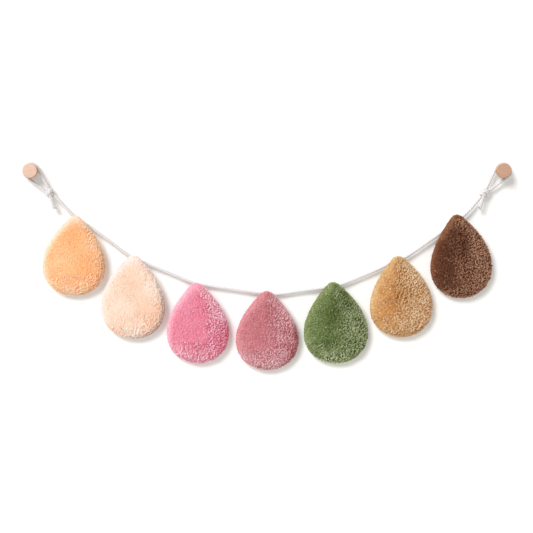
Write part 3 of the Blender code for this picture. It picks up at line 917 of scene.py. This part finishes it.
def build_fibres(knot, cut, along, finish):
    """Loose cotton fibres past the cut: thin tapering tufts, spread evenly over its face."""
    rng = np.random.default_rng(len(knot["side"]))
    count, length = FIBRE["count"], FIBRE["length"]
    centre = cut.mean(axis=0)
    edge = cut[rng.integers(0, len(cut), count)]
    roots = centre + (edge - centre) * np.sqrt(rng.uniform(0.0, FIBRE["over_cut"], count))[:, None]
    tufts = {
        "end": roots + along * length,
        "up": np.broadcast_to(along, roots.shape),
        "lie": unit(roots - centre),
        "stem": rng.uniform(*FIBRE["stem"], count) * length,
        "over": rng.uniform(0.0, FIBRE["lie"], count) * length,
        "curl": rng.normal(0.0, FIBRE["curl"], count) * length,
        "radius": np.full(count, FIBRE["radius"]),
    }
    points, faces, _ = tuft_shapes(tufts, OPEN_RINGS, rng)
    numbers = {"crown": np.ones(len(points)), "straightened": points}
    piece = make_piece(f"cord_fibres_{knot['side']}", points, faces, numbers, [finish])
    fit(piece, f"tail_{knot['side']}")


# Tufts of yarn, used for the pile and for the cord's loose fibres

def tuft_shapes(tufts, rings, rng):
    """Points and faces of many bent, tapering tufts at once, and how far up its tuft each point lies.

    At share v a tuft's middle line is its end, less stem up (1 - v)^1.6, plus over lie v^2 and, to the
    side, curl sin(pi v), and its direction is that line's slope, taken a hair short of the tip, where
    the stem's would be none. The section is a circle, uneven by TUFT_UNEVEN; the sides close in a
    pointed tip and a flat root."""
    heights, widths = np.array(rings).T
    v = heights[None, :, None]
    end, up, lie = (tufts[key][:, None] for key in ("end", "up", "lie"))
    stem, over, curl, radius = (tufts[key][:, None, None] for key in ("stem", "over", "curl", "radius"))
    side = np.cross(up, lie)
    line = end - up * stem * (1 - v) ** 1.6 + lie * over * v**2 + side * curl * np.sin(math.pi * v)
    bending = lie * over * 2 * v + side * curl * math.pi * np.cos(math.pi * v)
    along = unit(up * stem * 1.6 * (1.02 - v) ** 0.6 + bending)
    across = square_to(along, side)
    beyond = np.cross(along, across)
    angle = np.linspace(0.0, FULL_TURN, TUFT_SIDES, endpoint=False)
    count, levels = line.shape[:2]
    uneven = 1 + TUFT_UNEVEN * rng.uniform(-1.0, 1.0, (count, levels, TUFT_SIDES))
    reach = (radius * widths[None, :, None] * uneven)[..., None]
    ring = np.cos(angle)[:, None] * across[:, :, None] + np.sin(angle)[:, None] * beyond[:, :, None]
    body = (line[:, :, None] + reach * ring).reshape(count, -1, 3)
    tip = end[:, 0] + lie[:, 0] * over[:, 0]
    points = np.concatenate([body, tip[:, None]], axis=1).reshape(-1, 3)
    last = levels * TUFT_SIDES
    root = np.arange(TUFT_SIDES)[None, ::-1]
    shapes = (skin(levels, TUFT_SIDES), fan(TUFT_SIDES, last - TUFT_SIDES, last), root)
    rise = np.tile(np.append(np.repeat(heights, TUFT_SIDES), 1.0), count)
    return points, [copies(block, count, last + 1) for block in shapes], rise


# The drops

def width_share(down):
    """The outline's width at a share of the height down from the tip, 1 at the widest place.

    It is the root of the sum of two terms in the share d. The square of d^top (1 - d)^(1/2) over its
    peak gives the straight shoulders and the round foot, and TIP_ROUNDING d e^-(d / TIP_REACH), which
    fades out just below the tip, blunts the point."""
    top = WIDEST_SHARE / (1 - WIDEST_SHARE) / 2
    peak = WIDEST_SHARE**top * (1 - WIDEST_SHARE) ** 0.5
    plain = down**top * (1 - down) ** 0.5 / peak
    return np.sqrt(plain**2 + TIP_ROUNDING * down * np.exp(-down / TIP_REACH))


def middle_line(drop, down):
    """How far the drop's middle lies to the right of its tip, at a share of the height down."""
    return drop["lean"] * (1 - (1 - np.minimum(down / LEAN_SETTLES, 1.0)) ** 2)


def outline(drop):
    """The drop's edge as (x, z) from its tip, once round: down is (1 - cos t) / 2 at turn t."""
    turn = np.linspace(0.0, FULL_TURN, EDGE_STEPS, endpoint=False)
    down = (1 - np.cos(turn)) / 2
    x = np.sign(np.sin(turn)) * width_share(down) * drop["width"] / 2 + middle_line(drop, down)
    return np.stack([x, -drop["height"] * down], axis=1)


def centre_of(drop):
    return np.array([drop["lean"], -drop["height"] * OUTLINE_CENTRE])


def drawn_in(drop, edge, inset):
    """Places of the edge drawn towards the centre, by the inset over the outline's mean reach."""
    centre = centre_of(drop)
    reach = np.linalg.norm(outline(drop) - centre, axis=1).mean()
    return centre + (edge - centre) * (1 - inset / reach)[..., None]


def inset_of(drop, flat):
    """How far in from the outline each (x, z) lies, and its direction from the centre.

    The inset is the outline's mean reach times what is left of the way from the centre to the edge."""
    spokes = outline(drop) - centre_of(drop)
    reach = np.linalg.norm(spokes, axis=1)
    offset = flat - centre_of(drop)
    angle = np.arctan2(offset[..., 1], offset[..., 0])
    edge = np.interp(angle, np.arctan2(spokes[:, 1], spokes[:, 0]), reach, period=FULL_TURN)
    far = np.linalg.norm(offset, axis=-1)
    return (1 - far / edge) * reach.mean(), offset / np.maximum(far, NEAR_NOTHING)[..., None]


def section():
    """The pile's section as a smooth curve: run along it, inset, height, lumps' share, and direction."""
    rows = np.array(PILE_SECTION) * (1.0, 1.0, SECTION_STEP)
    line = smooth_path(rows, SECTION_STEP)
    run = run_along(line[:, :2])
    return run, line[:, 0], line[:, 1], line[:, 2] / SECTION_STEP, unit(np.gradient(line[:, :2], axis=0))


RUN, INSET, HEIGHT, LUMPS, SLOPE = section()
WIDEST = int(np.argmin(INSET))


def crossing(waves, flat, turn, phase):
    """The sum of waves that cross, each sin(turn (across x + down z) + start phase)."""
    x, z = flat[..., 0], flat[..., 1]
    return sum(np.sin(turn * (across * x + down * z) + start * phase) for across, down, start in waves)


def envelope(drop, flat, run, toward):
    """The pile's outer surface at places (x, z) with a run along the section: the point, as x, out and
    z over the backing, and the direction square to the surface."""
    lumps = LUMP_RISE * crossing(LUMP_WAVES, flat, FULL_TURN / LUMP_LENGTH, ord(drop["name"][0]))
    out = np.interp(run, RUN, HEIGHT) + np.interp(run, RUN, LUMPS) * lumps
    inward, forward = np.interp(run, RUN, SLOPE[:, 0]), np.interp(run, RUN, SLOPE[:, 1])
    point = np.stack([flat[..., 0], out, flat[..., 1]], axis=-1)
    up = np.stack([forward * toward[..., 0], inward, forward * toward[..., 1]], axis=-1)
    return point, unit(up)


def lean_of(drop):
    """How far the tip's backing stands off the wall, from the solid's own back plane, and the angle by
    which the drop leans there."""
    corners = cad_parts[f"drop_{drop['name']}"].data.vertices
    places = np.empty(3 * len(corners), np.float32)
    corners.foreach_get("co", places)
    down = (drop["z"] - places[2::3]) / drop["height"]
    shoulder = (down > SHOULDER[0]) & (down < SHOULDER[1])
    down, out = down[shoulder], -places[1::3][shoulder]
    depth = float(np.min((out - BACK_OFF_WALL * down) / (1 - down)))
    return depth, math.asin((depth - BACK_OFF_WALL) / drop["height"])


def hang(drop, vectors, place=True):
    """From x, out and z over the backing to the frame: turned to lean on the cord, and then, unless
    these are directions, moved there."""
    depth, angle = lean_of(drop)
    x, out, z = vectors[..., 0], vectors[..., 1], vectors[..., 2]
    back = -out * math.cos(angle) - z * math.sin(angle)
    high = -out * math.sin(angle) + z * math.cos(angle)
    moved = np.stack((x, back, high), axis=-1)
    return moved + np.array([drop["x"], -depth, drop["z"]]) if place else moved


def opened_share(drop, flat):
    """How far the pile has opened, 0 where it lies sleek: past a share of the width there, and past a
    share of the height, which is less at the right, with a wavy line between."""
    down = np.clip(-flat[..., 1] / drop["height"], *INSIDE)
    across = (flat[..., 0] - middle_line(drop, down)) / (drop["width"] * width_share(down)) + 0.5
    down_wave, across_wave = RAGGED
    ragged = down_wave[0] * np.sin(flat[..., 1] * down_wave[1])
    ragged = ragged + across_wave[0] * np.sin(flat[..., 0] * across_wave[1] + 1)
    right = smooth((across - drop["sleek"] + ragged) / OPENING_WIDTH + 0.5)
    foot = smooth((down + FOOT_SLOPE * (across - 0.5) - drop["foot"] + ragged) / FOOT_WIDTH + 0.5)
    return np.maximum(right, foot)


def between(key, opened):
    """A tuft's measure, on the way from the sleek one's to the open one's."""
    return SLEEK[key] + (OPEN[key] - SLEEK[key]) * opened


def painted_lean_tone(drop, flat):
    """The tone left by the strokes in which the pile leans, painted shade and painted highlight: each
    takes darker e^-(off / reach)^2 of it, off being the way to the stroke's nearest point."""
    tone = np.ones(flat.shape[:-1])
    for *ends, reach, darker in drop["strokes"]:
        start, stop = (
            np.array([drop["lean"] + (across - 0.5) * drop["width"], -down * drop["height"]])
            for across, down in ends
        )
        way = stop - start
        share = np.clip((flat - start) @ way / (way @ way), 0.0, 1.0)
        off = np.linalg.norm(flat - start - share[..., None] * way, axis=-1)
        tone = tone * (1 - darker * np.exp(-((off / (reach * drop["width"])) ** 2)))
    return tone


def shades(drop, flat, inset, toward):
    """What the yarn's colour follows, in the pad and in the tufts: painted shade on the rim turned away
    from the light and painted highlight on the rim that faces it, each fading inwards, and the tone of
    the lie, slowly changing, with the painted shade and highlight of the strokes."""
    # Painted shade on the rim that turns from the light, painted highlight on the one that faces it
    to_light = LIGHT_WAY[0] * toward[..., 0] + LIGHT_WAY[1] * toward[..., 1]
    away = drop["shaded"] * smooth(-to_light * PAINTED_SHADE_RIM["gain"]) * smooth(1 - inset / PAINTED_SHADE_RIM["reach"])
    facing = smooth(to_light * PAINTED_HIGHLIGHT_RIM["gain"] + PAINTED_HIGHLIGHT_RIM["start"])
    facing = PAINTED_HIGHLIGHT_RIM["strength"] * facing * smooth(1 - inset / PAINTED_HIGHLIGHT_RIM["reach"])
    tone = 1 + SLOW_TONE * crossing(SLOW_WAVES, flat, 1, ord(drop["name"][1]))
    return {"away": away, "facing": facing, "tone": tone * painted_lean_tone(drop, flat)}


def front_places(drop, rng):
    """A triangular lattice over the front, each place shifted at random, kept inside the rim's rows."""
    half = drop["width"] / 2 + abs(drop["lean"])
    down = np.arange(0.0, drop["height"], PITCH * ROW_SHARE)
    x, z = np.meshgrid(np.arange(-half, half, PITCH), -down)
    x = x + PITCH / 2 * (np.arange(len(down)) % 2)[:, None]
    flat = np.stack([x, z], axis=-1).reshape(-1, 2)
    flat = flat + rng.uniform(-JITTER, JITTER, flat.shape) * PITCH
    inset, toward = inset_of(drop, flat)
    kept = inset > RIM_INSET
    run = np.interp(inset[kept], INSET[WIDEST:], RUN[WIDEST:])
    return flat[kept], run, inset[kept], toward[kept]


def rim_places(drop, rng):
    """Rows round the rim, from just over the backing to the front, every other row half a step on."""
    edge = outline(drop)
    closed = np.vstack([edge, edge[:1]])
    around = run_along(closed)
    rows = np.arange(RIM_FIRST_ROW, np.interp(RIM_INSET, INSET[WIDEST:], RUN[WIDEST:]), PITCH * ROW_SHARE)
    count = int(around[-1] / PITCH)
    steps = np.arange(count) + 0.5 * (np.arange(len(rows)) % 2)[:, None]
    steps = (steps + rng.uniform(-JITTER, JITTER, steps.shape)) / count % 1.0
    run = rows[:, None] + rng.uniform(-JITTER, JITTER, steps.shape) * PITCH * RIM_ROW_JITTER
    rim = np.stack([np.interp(steps * around[-1], around, column) for column in closed.T], axis=-1)
    inset = np.interp(run, RUN, INSET)
    flat = drawn_in(drop, rim, inset)
    toward = unit(flat - centre_of(drop))
    return flat.reshape(-1, 2), run.ravel(), inset.ravel(), toward.reshape(-1, 2)


def waves_over(flat, rng, lengths, spread):
    """An irregular swell over the pile, about -1 to 1: the sum of WAVES sine waves over the root of
    their number, each with its own length between the two lengths and its own start, spread evenly up
    to spread to each side of the one that crosses the way the pile is brushed."""
    turn = BRUSHED_WAY + math.pi / 2 + spread * np.linspace(-1.0, 1.0, WAVES)
    start = rng.uniform(0.0, FULL_TURN, WAVES)
    length = rng.uniform(*lengths, WAVES)
    across = flat @ np.stack([np.cos(turn), np.sin(turn)]) / length
    return np.sin(FULL_TURN * across + start).sum(axis=-1) / math.sqrt(WAVES)


def tuft_stands(drop, rng):
    """Where the tufts stand, over the front and round the rim, less the ones that are missing.

    clump is the swell in which they cling together, and rim is 1 at the outline and fades out inwards.
    By how far its crest has come up, an open tuft is likely to be proud; otherwise it has sunk by what
    its crest lacks, and less at the rim."""
    groups = front_places(drop, rng), rim_places(drop, rng)
    places = [np.concatenate(columns) for columns in zip(*groups)]
    opened = opened_share(drop, places[0])
    kept = rng.uniform(size=len(opened)) > between("missing", opened)
    flat, run, inset, toward, opened = (column[kept] for column in (*places, opened))
    clump = waves_over(flat, rng, CLUMP_LENGTHS, CLUMP_TURN)
    crest = smooth(CREST_USUAL + CREST_CLUMPED * clump + CREST_RANDOM * rng.normal(size=len(flat)))
    proud = rng.uniform(size=len(flat)) < 2 * PROUD["share"] * opened * crest
    rim = smooth(1 - inset / RIM_REACH)
    sunk = opened * (1 - proud) * (1 - crest) * (1 - RIM_CALM * rim)
    place = {"flat": flat, "run": run, "inset": inset, "toward": toward, "rim": rim}
    return SimpleNamespace(**place, opened=opened, clump=clump, proud=proud, sunk=sunk)


def bent_tufts(drop, stand, rng):
    """How each tuft is bent, for tuft_shapes. It lies the way the pile is brushed, and outwards at the
    rim, with some spread; its end strays from the pile's outer surface by chance, with its clump, and
    as it is proud or sunk, and lies half its way over back from its place."""
    proud, rim, count = stand.proud, stand.rim, len(stand.flat)
    usual = {key: between(key, stand.opened) for key in SLEEK}
    point, up = envelope(drop, stand.flat, stand.run, stand.toward)
    brushed = np.array([math.cos(BRUSHED_WAY), math.sin(BRUSHED_WAY)])
    heading = stand.toward * rim[:, None] + brushed * (1 - rim[:, None])
    angle = np.arctan2(heading[:, 1], heading[:, 0]) + BRUSHED_SPREAD * rng.normal(size=count)
    lie = square_to(up, np.stack([np.cos(angle), np.zeros(count), np.sin(angle)], axis=1))
    over = np.where(proud, PROUD["lie"], usual["lie"]) * rng.uniform(*LIE_SHARES, count)
    over = over * (1 - RIM_CALM * rim)
    lift = usual["jitter"] * rng.normal(size=count) + usual["clump"] * (stand.clump - 0.5)
    lift = (lift + PROUD["rise"] * proud - SUNK["fall"] * stand.sunk) * drop["loft"]
    lift = lift * (1 - RIM_LEVEL * rim) + rim * (RIM_FUZZ * rng.normal(size=count) - RIM_TUCK)
    lift = lift + RIM_CLUMP * rim * stand.opened * stand.clump
    end = point + up * np.minimum(lift, HIGHEST_END)[:, None] - lie * (over * 0.5)[:, None]
    return {
        "end": hang(drop, end),
        "up": hang(drop, up, place=False),
        "lie": hang(drop, lie, place=False),
        "stem": usual["stem"],
        "over": over,
        "curl": np.where(proud, PROUD["curl"], usual["curl"]) * rng.normal(size=count),
        "radius": usual["radius"] * rng.uniform(*RADIUS_SHARES, count),
    }


def tuft_shades(drop, stand, rng):
    """What each tuft's colour follows: the pad's shades, painted rims and strokes, and a tone that strays
    by tuft, clump and patch, painted paler as highlight where it is proud and deeper as shade where it
    has sunk or is a pit; the painted highlight on its end; and, for rise, how much of its depth, painted
    shade, shows and how deep it has sunk."""
    opened, count = stand.opened, len(stand.flat)
    values = shades(drop, stand.flat, stand.inset, stand.toward)
    lit = np.minimum(values["tone"], BRIGHTEST)
    mottle = between("tone", opened) * rng.normal(size=count) + between("clumped", opened) * stand.clump
    patches = drop["patchy"] * waves_over(stand.flat, rng, PATCH_LENGTHS, PATCH_TURN)
    mottle = mottle * drop["uneven"] + patches * (SLEEK_PATCHES + (1 - SLEEK_PATCHES) * opened)
    # Painted highlight on proud tufts, and painted shade on sunk ones and on the pits
    painted_proud_and_sunk = (PROUD["tone"] - 1) * stand.proud + (SUNK["tone"] - 1) * stand.sunk
    painted_pit_shade = np.where(rng.uniform(size=count) < PAINTED_PITS["share"] * drop["uneven"], PAINTED_PITS["tone"], 1.0)
    values["tone"] = values["tone"] * painted_pit_shade * np.exp(mottle) * (1 + painted_proud_and_sunk * drop["loft"])
    # Painted highlight on the ends, more on the proud ones and where the tone is paler
    tip_highlight = np.where(stand.proud, PROUD["brushed"], SUNK["brushed"])
    values["brushed"] = opened * (tip_highlight * rng.uniform(*TIP_HIGHLIGHT_SHARES, count)) * lit
    values["shown"] = SLEEK_DEPTH + (1 - SLEEK_DEPTH) * opened
    values["deep"] = 1 - SUNK["deep"] * stand.sunk
    return values


def build_tufts(drop, material, seed):
    """The pile: thousands of yarn tufts square to the pad, upright and close where it lies sleek, and
    bent over, thin and curled where it has opened."""
    rng = np.random.default_rng(seed)
    stand = tuft_stands(drop, rng)
    tufts = bent_tufts(drop, stand, rng)
    values = tuft_shades(drop, stand, rng)
    parts = []
    bent = stand.opened + BEND_MIXED * stand.clump > BENDS_FROM
    for chosen, rings in ((~bent, SLEEK_RINGS), (bent, OPEN_RINGS)):
        points, faces, rise = tuft_shapes({key: tufts[key][chosen] for key in tufts}, rings, rng)
        each = len(points) // np.count_nonzero(chosen)
        numbers = {label: np.repeat(column[chosen], each) for label, column in values.items()}
        numbers["brushed"] = numbers["brushed"] * rise**2
        # The root's colour low on each tuft, and more where it has sunk: painted shade down between the
        # tufts
        numbers["rise"] = (1 - (1 - rise) * numbers.pop("shown") * drop["loft"]) * numbers.pop("deep")
        parts.append((points, faces, numbers))
    piece = make_piece(f"tufts_{drop['name']}", *joined(parts), [material])
    fit(piece, f"drop_{drop['name']}")


def build_pad(drop, pile, backing):
    """The pad under the tufts, closed: rings of the outline drawn in along the section, each point set
    in from the pile's outer surface by the depth of the ground there, and a flat woven back."""
    edge = outline(drop)[:: EDGE_STEPS // PAD_SIDES]
    run = RUN[-1] * np.linspace(0.0, 1.0, PAD_RINGS) ** PAD_CROWDING
    inset = np.interp(run, RUN, INSET)
    flat = drawn_in(drop, edge, inset[:, None])
    toward = np.broadcast_to(unit(edge - centre_of(drop)), flat.shape)
    point, up = envelope(drop, flat, np.broadcast_to(run[:, None], flat.shape[:2]), toward)
    hidden = opened_share(drop, flat) * drop["loft"]
    depth = between("ground", hidden) + (RIM_TUCK * smooth(1 - inset / RIM_REACH))[:, None]
    point = point - up * (depth * smooth(run / PAD_EDGE)[:, None])[..., None]
    middle = point[-1].mean(axis=0)
    points = hang(drop, np.vstack([point.reshape(-1, 3), middle]))
    back = np.arange(PAD_SIDES)[None]
    front = fan(PAD_SIDES, (PAD_RINGS - 1) * PAD_SIDES, PAD_RINGS * PAD_SIDES)[:, ::-1]
    faces = [skin(PAD_RINGS, PAD_SIDES)[:, ::-1], front, back]
    finish_of = np.concatenate([np.zeros(len(faces[0]) + len(faces[1])), np.ones(1)])
    values = shades(drop, flat.reshape(-1, 2), np.repeat(inset, PAD_SIDES), toward.reshape(-1, 2))
    numbers = {label: np.append(column, 1.0 * (label == "tone")) for label, column in values.items()}
    numbers["brushed"] = np.zeros(len(points))
    # Painted shade: the pad takes more of the root's colour where the pile over it has opened
    rise = PAD_RISE["sleek"] - PAD_RISE["lower"] * hidden
    numbers["rise"] = np.append(rise, PAD_RISE["middle"])
    piece = make_piece(f"pad_{drop['name']}", points, faces, numbers, [pile, backing], finish_of)
    fit(piece, f"drop_{drop['name']}")


# The pegs

def build_peg(side, x):
    """A turned peg: its section, the reach from the axis and the height over the wall, goes once round.

    Quarter circles ease the head's two edges, and its face swells by a hair towards the middle."""
    back = PEG_LENGTH - PEG_HEAD_THICKNESS
    quarter = np.linspace(0.0, math.pi / 2, PEG_EASING_RINGS)
    rear_reach = PEG_HEAD_RADIUS - PEG_BACK_EASING * (1 - np.sin(quarter))
    rear = np.stack([rear_reach, back + PEG_BACK_EASING * (1 - np.cos(quarter))], axis=1)
    rim_top = PEG_LENGTH - PEG_DOME
    fore_reach = PEG_HEAD_RADIUS - PEG_FRONT_EASING * (1 - np.cos(quarter))
    fore = np.stack([fore_reach, rim_top - PEG_FRONT_EASING * (1 - np.sin(quarter))], axis=1)
    neck = PEG_STEM_RADIUS + PEG_NECK_EASING
    stem = np.array([[PEG_STEM_RADIUS, 0.0], [PEG_STEM_RADIUS, back - PEG_NECK_EASING], [neck, back]])
    share = np.linspace(1.0, PEG_FACE_MIDDLE, PEG_FACE_RINGS)[1:]
    face = np.stack([fore_reach[-1] * share, rim_top + PEG_DOME * (1 - share**2)], axis=1)
    profile = np.vstack([stem, rear, fore, face])
    # How much of the painted shade of the turned sides each ring takes: all on the stem and the back of the
    # head, fading round the front easing, none on the face
    sided = np.concatenate([np.ones(len(stem) + len(rear)), np.cos(quarter), np.zeros(len(face))])
    turn = np.linspace(0.0, FULL_TURN, PEG_SIDES, endpoint=False)
    reach, out = profile[:, :1], np.broadcast_to(profile[:, 1:], (len(profile), PEG_SIDES))
    rings = np.stack([x + reach * np.cos(turn), -out, reach * np.sin(turn)], axis=-1)
    points = np.vstack([rings.reshape(-1, 3), [[x, -PEG_LENGTH, 0.0]]])
    tip = len(profile) * PEG_SIDES
    wall_face = np.arange(PEG_SIDES)[None, ::-1]
    faces = [skin(len(profile), PEG_SIDES), fan(PEG_SIDES, tip - PEG_SIDES, tip), wall_face]
    numbers = {"side": np.append(np.repeat(sided, PEG_SIDES), 0.0)}
    piece = make_piece(f"turned_peg_{side}", points, faces, numbers, [beech(side)], crisp=CRISP_TURNING)
    fit(piece, f"peg_{side}")


def build_cords():
    """The whole cord: the hanging stretch, a loop and a knot at each peg, and the two cut ends."""
    finish = cotton("twisted_cotton", light_through=0.5)
    loose = cotton("loose_cotton_fibres", light_through=0.0)
    hanging = hanging_path()
    free_cord("cord_hanging", hanging, "garland_cord", finish)
    for knot in KNOTS:
        loop = loop_path(knot)
        free_cord(f"cord_loop_{knot['side']}", loop, f"loop_{knot['side']}", finish)
        build_knot(knot, hanging, loop, finish)
        cut, along = build_tail(knot, finish)
        build_fibres(knot, cut, along, loose)


set_camera()
build_cords()
set_stage()
set_lights()
for knot in KNOTS:
    build_peg(knot["side"], knot["peg_x"])
for seed, (name, size) in enumerate(DROPS.items()):
    drop = {"name": name, **size, **PILES[name], "yarn": YARNS[name], "strokes": STROKES[name]}
    pile = cut_pile(drop)
    build_pad(drop, pile, backing_cloth(drop))
    build_tufts(drop, pile, seed)
